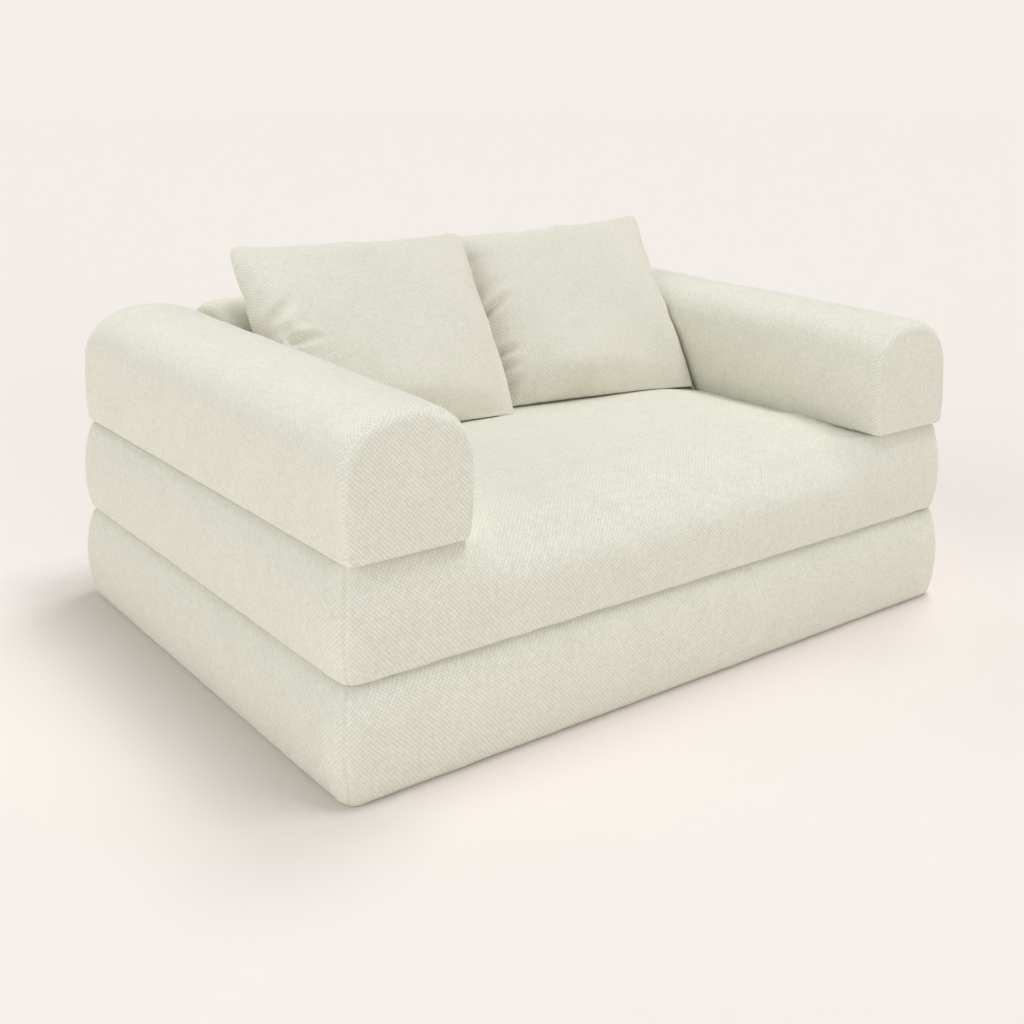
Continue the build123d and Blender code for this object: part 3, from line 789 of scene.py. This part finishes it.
# The pillows' cloth is the covers' weave painted darker all over as painted shade; its second colour is
# painted shade between the nubs.
PILLOW_PAINTED_SHADE_NUB = (0.849, 0.818, 0.719)
PILLOW_PAINTED_SHADE_GAP = (0.709, 0.679, 0.584)


def pillow_frame(foot, turn):
    """Ways across, up the lean and out of the face of a pillow turned by this angle."""
    across = np.array((np.cos(turn), np.sin(turn), 0))
    face = np.array((np.sin(turn) * np.sin(LEAN), -np.cos(turn) * np.sin(LEAN), np.cos(LEAN)))
    return across, np.cross(face, across), face, np.array(foot)


def pillow_sheets(width, height, rows, columns, puff):
    """Two flat sheets that share their edge, as points, quads and places in the cloth. Over a
    and b from -1 to 1, the corners are rounded by the size of (a, b) as a 26th-power sum, the
    sides bow out by PILLOW_BOW, and puff lifts the two sheets apart in the middle."""
    a, b = np.meshgrid(np.linspace(-1, 1, columns), np.linspace(-1, 1, rows))
    reach = np.maximum(np.abs(a), np.abs(b))
    power = PILLOW_CORNER
    total = np.maximum((np.abs(a) ** power + np.abs(b) ** power) ** (1 / power), 1e-9)
    a, b = a * reach / total, b * reach / total
    x = width / 2 * a * (1 + PILLOW_BOW * (1 - b**2) * a**2)
    y = height / 2 * b * (1 + PILLOW_BOW * (1 - a**2) * b**2)
    edge = np.maximum(1 - reach**2, 0)
    front = np.stack((x, y, puff * edge**0.45), -1).reshape(-1, 3)
    back = front * (1, 1, -1)
    number = np.arange(rows * columns).reshape(rows, columns)
    inner = np.zeros((rows, columns), bool)
    inner[1:-1, 1:-1] = True
    behind = number.copy()
    behind[inner] = rows * columns + np.arange(inner.sum())
    points = np.concatenate((front, back[inner.ravel()]))
    quads = [np.stack((index[:-1, :-1], index[:-1, 1:], index[1:, 1:], index[1:, :-1]), -1)
             for index in (number, behind[:, ::-1])]
    return points, np.concatenate(quads).reshape(-1, 4), points[:, :2].copy()


CLOTH = {"quality": 6, "mass": 0.25, "tension_stiffness": 30, "compression_stiffness": 30,
         "shear_stiffness": 6, "bending_stiffness": 0.6, "air_damping": 2, "use_pressure": True,
         "uniform_pressure_force": 3}


def fill_pillow(points, faces):
    """The sheets blown up as cloth round a soft filling: air pressure for twenty frames, with no
    weight and no points held. Returns where the points come to rest."""
    mesh = bpy.data.meshes.new("pillow_sewn_flat")
    mesh.from_pydata(points, [], faces.tolist())
    sewn = bpy.data.objects.new("pillow_sewn_flat", mesh)
    scene.collection.objects.link(sewn)
    cloth = sewn.modifiers.new("filling", "CLOTH")
    for setting, value in CLOTH.items():
        setattr(cloth.settings, setting, value)
    cloth.settings.effector_weights.gravity = 0
    cloth.collision_settings.use_collision = False
    for frame_number in range(1, 21):
        scene.frame_set(frame_number)
    rested = sewn.evaluated_get(bpy.context.evaluated_depsgraph_get()).data
    rest = np.empty(len(rested.vertices) * 3)
    rested.vertices.foreach_get("co", rest)
    bpy.data.objects.remove(sewn)
    bpy.data.meshes.remove(mesh)
    scene.frame_set(1)
    return rest.reshape(-1, 3)


PILLOW_BOW = 0.055
PILLOW_CORNER = 26
SHEET_ROWS = 73
SHEET_COLUMNS = 83
PILLOW_ZIP_HALF = 0.170
PILLOW_MOUTH_HALF = PILLOW_ZIP_HALF + PULL_ROOM
SLUMP = 0.011
# What lies between a pillow and the seat or the arm, and how far its right end gives way.
SEAT_GAP, ARM_GAP, RIGHT_GIVE = 0.0006, 0.0012, 0.034
sewn_points, sewn_faces, sewn_cloth = pillow_sheets(
    PILLOW_WIDTH, PILLOW_HEIGHT, SHEET_ROWS, SHEET_COLUMNS, 0.012)
sewn_points = fill_pillow(sewn_points, sewn_faces)
front_sheet = np.arange(SHEET_ROWS * SHEET_COLUMNS).reshape(SHEET_ROWS, SHEET_COLUMNS)
rear_sheet = front_sheet.copy()
rear_sheet[1:-1, 1:-1] = front_sheet.size + np.arange((SHEET_ROWS - 2) * (SHEET_COLUMNS - 2)).reshape(
    SHEET_ROWS - 2, SHEET_COLUMNS - 2)
# Small wrinkles are ironed out: ten times, each inner point goes half-way to its neighbours' mean.
for ironing in range(10):
    for sheet in (front_sheet, rear_sheet):
        cloth = sewn_points[sheet]
        mean = (cloth[:-2, 1:-1] + cloth[2:, 1:-1] + cloth[1:-1, :-2] + cloth[1:-1, 2:]) / 4
        sewn_points[sheet[1:-1, 1:-1]] = (cloth[1:-1, 1:-1] + mean) / 2
filled = sewn_points - (sewn_points.max(0) + sewn_points.min(0)) / 2
filled = filled / np.ptp(filled, axis=0)
# Each row: where a fold starts at the edge and ends on the face, across from the middle and up
# from the foot, then its depth and its half width, all in metres.
FOLDS = {
    "left_pillow": (
        (-0.250, 0.212, -0.158, 0.302, 0.012, 0.012), (-0.200, 0.184, -0.135, 0.181, 0.012, 0.008),
        (-0.274, 0.316, -0.203, 0.364, 0.006, 0.013), (-0.215, 0.246, -0.150, 0.264, 0.004, 0.012),
        (-0.210, 0.208, -0.178, 0.165, 0.005, 0.010), (0.078, 0.000, 0.059, 0.043, 0.004, 0.008),
        (0.240, 0.258, 0.167, 0.284, 0.003, 0.010)),
    "right_pillow": (
        (-0.205, 0.176, -0.118, 0.228, 0.020, 0.009), (-0.195, 0.098, -0.126, 0.109, 0.016, 0.008),
        (-0.195, 0.069, -0.132, 0.073, 0.011, 0.008), (-0.190, 0.040, -0.125, 0.044, 0.009, 0.008),
        (-0.200, 0.232, -0.105, 0.270, 0.006, 0.012), (-0.200, 0.322, -0.118, 0.342, 0.005, 0.014),
        (-0.134, 0.000, -0.100, 0.045, 0.006, 0.009), (0.040, 0.000, 0.050, 0.070, 0.004, 0.008),
        (0.100, 0.008, 0.084, 0.052, 0.003, 0.008)),
}
# Corners of each pillow on its seam plane: foot left, foot right, top right, top left.
CORNERS = {
    "left_pillow": ((-0.238, 0.000), (0.240, 0.004), (0.247, 0.450), (-0.263, 0.444)),
    "right_pillow": ((-0.240, 0.000), (0.262, 0.004), (0.294, 0.466), (-0.240, 0.428)),
}
TOP_SAG = 0.042
# Places across the pillow at which its lower and upper edges are read.
EDGE_PLACES = 41
RIGHT_TUCK = {"left_pillow": 0, "right_pillow": 0.016}
# Where the left pillow leans on the right one's face, and how deep and wide it presses.
PRESSED = {"left_pillow": (0, 0, 1), "right_pillow": (-0.195, 0.024, 0.036)}


def settled(shape, corners, folds, pressed, tuck, mirror):
    """The filled pillow stretched between its four corners, with its foot straight, its top edge
    in a shallow sag, its right edge tucked in by a parabola, its face pressed in along a
    bell-shaped band, and the folds pressed into it. Each fold fades along its length as one less
    the square of the share run, and across as a bell with a low rim. Where mirror is set, the
    pillow is sewn the other way round."""
    points = shape * ((-1, 1, 1) if mirror else (1, 1, 1))
    right, rise = points[:, 0] + 0.5, points[:, 1] + 0.5
    low, high = np.full(EDGE_PLACES, np.inf), np.zeros(EDGE_PLACES)
    column = np.clip((right * (EDGE_PLACES - 1)).round().astype(int), 0, EDGE_PLACES - 1)
    np.minimum.at(low, column, rise)
    np.maximum.at(high, column, rise)
    low, high = (np.interp(right, np.linspace(0, 1, EDGE_PLACES), edge) for edge in (low, high))
    sagged = 1 - TOP_SAG * (1 - (2 * right - 1) ** 2)
    top = (sagged - high) * soft_step(np.minimum(right, 1 - right), 0.02, 0.10)
    rise = rise - low * np.clip(1 - rise / 0.45, 0, 1) ** 2 + top * np.clip(rise / 0.45 - 1.2, 0, 1) ** 2
    (fx0, fy0), (fx1, fy1), (tx1, ty1), (tx0, ty0) = corners
    x = (1 - rise) * ((1 - right) * fx0 + right * fx1) + rise * ((1 - right) * tx0 + right * tx1)
    y = (1 - rise) * ((1 - right) * fy0 + right * fy1) + rise * ((1 - right) * ty0 + right * ty1)
    x = x - tuck * 4 * rise * (1 - rise) * np.clip(right, 0, 1) ** 5
    z = points[:, 2] * PILLOW_DEPTH
    band, deep, wide = pressed
    z = z - (deep * np.exp(-((x - band) / wide) ** 2) * (1 - soft_step(y, 0.30, 0.40))
             * soft_step(z, 0.0, 0.02))
    x0, y0, x1, y1, depth, width = np.array(folds).T
    start = np.stack((x0, y0), -1)
    run = np.stack((x1, y1), -1) - start
    length = np.linalg.norm(run, axis=1)
    way = run / length[:, None]
    away = np.stack((x, y), -1)[:, None] - start
    t = np.clip((away * way).sum(-1) / length, 0, 1)
    aside = np.linalg.norm(away - way * (t * length)[..., None], axis=-1)
    valley = np.exp(-(aside / width) ** 2) - 0.45 * np.exp(-((aside - 1.9 * width) / width) ** 2)
    z = z - (depth * (1 - t**2) * valley).sum(1) * soft_step(z, 0.0, 0.02)
    return np.stack((x, y, z), -1)


def opened_for_zip(local):
    """The two sheets parted along the foot seam: the seam goes up to the zip's tape, the next
    row of each sheet stays beside it, and the row after that comes down as the mouth's lip, the
    front one over the zip and the rear one on the seat."""
    points = local.copy()
    for sheet, row, up, out in ((front_sheet, 0, 0.0145, 0.0), (front_sheet, 1, 0.0143, 0.0078),
                                (front_sheet, 2, -0.0035, 0.0078), (rear_sheet, 1, 0.0143, -0.0078),
                                (rear_sheet, 2, 0.0065, -0.0080)):
        line = sheet[row, 1:-1]
        part = soft_step(PILLOW_MOUTH_HALF + 0.008 - np.abs(local[line, 0]), 0, 0.006)[:, None]
        points[line, 1:] = local[line, 1:] * (1 - part) + np.array((up, out)) * part
    return points


def pillow_surface(name, foot, turn, local, mirror, stuff, skin=0.0):
    """The settled pillow set down at its foot, turned and leaning, with one more subdivision.
    Its right end gives way to the arm, its foot slumps, beyond the zip's opening all of it, and
    what would sink into the seat or the arm is pressed flat against it."""
    across, lean, face, origin = pillow_frame(foot, turn)
    points = local[:, :1] * across + local[:, 1:2] * lean + local[:, 2:] * face + origin
    x, y, z = points.T
    y = y - RIGHT_GIVE * soft_step(x, 0.345, 0.45) * (1 - soft_step(z, 0.45, 0.70))
    seat_top = SEAT_LOW + SLAB_HEIGHT + SEAT_GAP + skin + np.maximum(seat_crown(x, y), 0)
    past_zip = soft_step(np.abs(local[:, 0]), PILLOW_MOUTH_HALF, PILLOW_MOUTH_HALF + 0.010)
    slump = SLUMP * (1 - soft_step(z - seat_top, 0.004, 0.070)) * np.maximum(
        soft_step(local[:, 2], 0.004, 0.015), past_zip)
    z = np.maximum(z - slump, seat_top)
    face_x = ARM_FACE - ARM_GAP - skin + 0.05 * soft_step(z, 0.50, 0.60) + 0.2 * soft_step(z, 0.58, 0.62)
    points = np.stack((np.clip(x, -face_x, face_x), y, z), -1)
    mesh = bpy.data.meshes.new(name)
    mesh.from_pydata(points, [], (sewn_faces[:, ::-1] if mirror else sewn_faces).tolist())
    lay_threads(mesh, sewn_cloth, "POINT")
    piece = in_scene(name, mesh, stuff)
    finer = piece.modifiers.new("finer", "SUBSURF")
    finer.levels = finer.render_levels = 1
    return piece


PILLOW_FEET = {"left_pillow": ((-0.219, 0.03965, 0.35059), np.radians(-9.5)),
               "right_pillow": ((0.199, 0.03479, 0.35059), np.radians(-14))}
# The pillows' weave is a copy of the cover cloth with painted shade on it.
painted_shade_pillow_cloth = (woven_finish("pillow_weave_painted_shade", PILLOW_PAINTED_SHADE_NUB, PILLOW_PAINTED_SHADE_GAP), "basket_weave")
pillow_shapes = {pillow: settled(filled, CORNERS[pillow], FOLDS[pillow], PRESSED[pillow],
                                 RIGHT_TUCK[pillow], pillow == "right_pillow") for pillow in PILLOW_FEET}
for pillow, (foot, turn) in PILLOW_FEET.items():
    cover = pillow_surface(f"{pillow}_cover_cloth", foot, turn, opened_for_zip(pillow_shapes[pillow]),
                           pillow == "right_pillow", painted_shade_pillow_cloth)
    dress(cover, f"{pillow}_cover", pillow)

# ---------------------------------------------------------------- fibre inserts
# The loose inner of each pillow: a bag of thin non-woven cloth stuffed with polyester fibre, a
# little smaller than the cover all round.
INSERT_SKIN = 0.005
INSERT_FOOT = 0.019
INSERT_EASE = 0.003


def bag_finish(name, colour, shade_colour):
    """Non-woven cloth: short fibres in all directions as stretched noise, with the soft lumps
    of the filling under it."""
    finish, tree, shader = blank_finish(name, {"Roughness": 0.9, "Specular IOR Level": 0.2})
    solid = solid_place(tree)
    lumps = arithmetic(tree, "MULTIPLY", noise(tree, solid, 30, 2), 0.5)
    lit = arithmetic(tree, "MULTIPLY_ADD", noise(tree, solid, 420, 5, 3), 0.8, lumps)
    tone_and_painted_shade(tree, shader, lit, shade_colour, colour)
    emboss(tree, shader, lit, 0.5, 0.0006)
    return finish


bag = (bag_finish("non_woven_bag", (0.88, 0.88, 0.86), (0.70, 0.70, 0.68)), "fibre_insert")
for pillow, (foot, turn) in PILLOW_FEET.items():
    shape = pillow_shapes[pillow]
    middle = (shape.max(0) + shape.min(0)) / 2 * (1, 1, 0)
    smaller = 1 - 2 * (INSERT_SKIN + INSERT_EASE) / np.ptp(shape, axis=0)
    inner = middle + (shape - middle) * smaller
    inner[:, 1] = np.maximum(inner[:, 1], INSERT_FOOT)
    insert = pillow_surface(f"{pillow}_fibre_bag", foot, turn, inner, pillow == "right_pillow", bag,
                            INSERT_SKIN)
    dress(insert, f"{pillow}_insert", pillow)

# ---------------------------------------------------------------- zips
# Nylon coil zips on cream tape, one in each cover: at the rear of the slabs and the back, and
# under the arms and pillows. The coil is sewn along both tapes, and the slider is die-cast zinc.
TOOTH_PITCH = 0.002
TOOTH_ARCH = np.array(((-2.15, 0.6), (-2.15, 1.9), (-1.5, 2.25), (0, 2.27), (1.5, 2.25), (2.15, 1.9),
                       (2.15, 0.6))) * 0.001
TOOTH_THICK = 0.0005


def coil_teeth(name, middle, along, out, half_length, stuff):
    """Coil teeth: a five-sided rod is carried over a flat arch across the tape, slanting a
    quarter pitch, and repeated every pitch along the zip."""
    across = np.cross(out, along)
    ahead = np.gradient(TOOTH_ARCH, axis=0)
    ahead /= np.linalg.norm(ahead, axis=1)[:, None]
    outward = np.stack((-ahead[:, 1], ahead[:, 0]), -1)
    spin = 2 * np.pi * np.arange(5) / 5
    flat = TOOTH_ARCH[:, None] + TOOTH_THICK * np.cos(spin)[None, :, None] * outward[:, None]
    run = TOOTH_THICK * np.sin(spin)[None] + TOOTH_PITCH / 4 * TOOTH_ARCH[:, :1] / TOOTH_ARCH[-1, 0]
    tooth = flat[..., :1] * across + flat[..., 1:] * out + run[..., None] * along
    places = np.arange(-half_length + TOOTH_PITCH, half_length - TOOTH_PITCH / 2, TOOTH_PITCH)
    points = middle + tooth.reshape(-1, 3)[None] + places[:, None, None] * along
    quads = tube_quads(7, 5).reshape(-1, 4)
    first = np.arange(len(places))[:, None, None] * 35
    caps = np.stack((np.arange(5)[::-1], 30 + np.arange(5)))
    a, b, c = (tooth.reshape(-1, 3)[quads[:, k]] for k in range(3))
    if np.einsum("ij,ij->i", a - tooth.mean((0, 1)), np.cross(b - a, c - a)).sum() < 0:
        quads, caps = quads[:, ::-1], caps[:, ::-1]
    mesh = bpy.data.meshes.new(name)
    mesh.from_pydata(points.reshape(-1, 3), [], (quads[None] + first).reshape(-1, 4).tolist()
                     + (caps[None] + first).reshape(-1, 5).tolist())
    return in_scene(name, mesh, stuff)


def cast_finish(name, colour):
    """Die-cast zinc with a satin plating: a fine grain in the gloss and faint scuffs."""
    finish, tree, shader = blank_finish(name, {"Metallic": 1})
    grain = noise(tree, solid_place(tree), 1500, 4)
    gloss = node(tree, "ShaderNodeMapRange", {"Value": grain}, values={"To Min": 0.22, "To Max": 0.48})
    tree.links.new(gloss.outputs["Result"], shader.inputs["Roughness"])
    tone_and_painted_shade(tree, shader, grain, [0.8 * part for part in colour], colour)
    emboss(tree, shader, grain, 0.2, 0.0001)
    return finish


zip_cloth = webbing_finish("zip_tape", (0.84, 0.82, 0.72), (0.68, 0.66, 0.56), 0.0009)
coil_nylon = (webbing_finish("zip_coil", (0.86, 0.84, 0.75), (0.80, 0.78, 0.69), 0.0005, 0.35), "zip_tape")
zinc = cast_finish("zip_metal", (0.72, 0.70, 0.66))
REARWARD, DOWNWARD, WIDTHWAYS = np.array(((0, 1.0, 0), (0, 0, -1.0), (1.0, 0, 0)))
SLAB_TAPE_Y, BACK_TAPE_Y, ARM_TAPE_Z, PILLOW_TAPE_RISE = 0.516, 0.504, 0.3596, 0.014
# Each zip: its tape's middle, the ways along it and out of the cover, and half its length.
ZIPS = {
    "base": (np.array((0, SLAB_TAPE_Y, SLAB_ZIP_RISE)), WIDTHWAYS, REARWARD, SLAB_ZIP_HALF),
    "seat": (np.array((0, SLAB_TAPE_Y, SEAT_LOW + SLAB_ZIP_RISE)), WIDTHWAYS, REARWARD, SLAB_ZIP_HALF),
    "left_arm": (np.array((-ARM_X, 0, ARM_TAPE_Z)), REARWARD, DOWNWARD, ARM_ZIP_HALF),
    "right_arm": (np.array((ARM_X, 0, ARM_TAPE_Z)), REARWARD, DOWNWARD, ARM_ZIP_HALF),
    "back": (np.array((0, BACK_TAPE_Y, ARM_LOW + BACK_ZIP_RISE)), WIDTHWAYS, REARWARD, BACK_ZIP_HALF),
}
for pillow, (foot, turn) in PILLOW_FEET.items():
    across, lean, face, origin = pillow_frame(foot, turn)
    ZIPS[pillow] = (origin + PILLOW_TAPE_RISE * lean, across, -lean, PILLOW_ZIP_HALF)
for carrier, (middle, along, out, half_length) in ZIPS.items():
    coil = coil_teeth(f"{carrier}_zip_coil", middle, along, out, half_length, coil_nylon)
    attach(coil, carrier)
    for part, finish in (("zip_tape", zip_cloth), ("zip_slider", zinc), ("zip_pull", zinc)):
        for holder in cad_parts[f"{carrier}_{part}"].material_slots:
            holder.material = finish

# ---------------------------------------------------------------- grip strips
# Hook-and-loop strips that keep the arms and the back from sliding: stiff nylon hooks under
# them, and a soft looped pile sewn on the seat.


def pile_finish(name, colour, painted_root_shade, spacing, stand, roughness):
    """Pile tape: one small tuft or hook to each cell of a slightly uneven grid, in its own colour
    at its tip and darkened towards its root as painted shade."""
    finish, tree, shader = blank_finish(name, {"Roughness": roughness})
    solid = solid_place(tree)
    cells = node(tree, "ShaderNodeTexVoronoi", {"Vector": solid},
                 values={"Scale": 1 / spacing, "Randomness": 0.45})
    tip = arithmetic(tree, "SUBTRACT", 1.0, cells.outputs["Distance"])
    lit = arithmetic(tree, "MULTIPLY_ADD", noise(tree, solid, 2 / spacing, 3, 2), 0.5,
                     arithmetic(tree, "MULTIPLY", tip, 0.6))
    tone_and_painted_shade(tree, shader, lit, painted_root_shade, colour)
    emboss(tree, shader, lit, 1.0, stand)
    return finish


# The second colour of each tape is painted shade at the roots of its hooks or loops.
hook_tape = pile_finish("hook_tape", (0.80, 0.79, 0.72), (0.45, 0.44, 0.38), 0.0014, 0.0008, 0.4)
loop_tape = pile_finish("loop_tape", (0.84, 0.82, 0.73), (0.60, 0.58, 0.50), 0.0011, 0.0006, 0.9)
for topper in ("left_arm", "right_arm", "back"):
    for strip, finish in ((f"{topper}_hook_strips", hook_tape), (f"seat_loop_strips_{topper}", loop_tape)):
        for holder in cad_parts[strip].material_slots:
            holder.material = finish
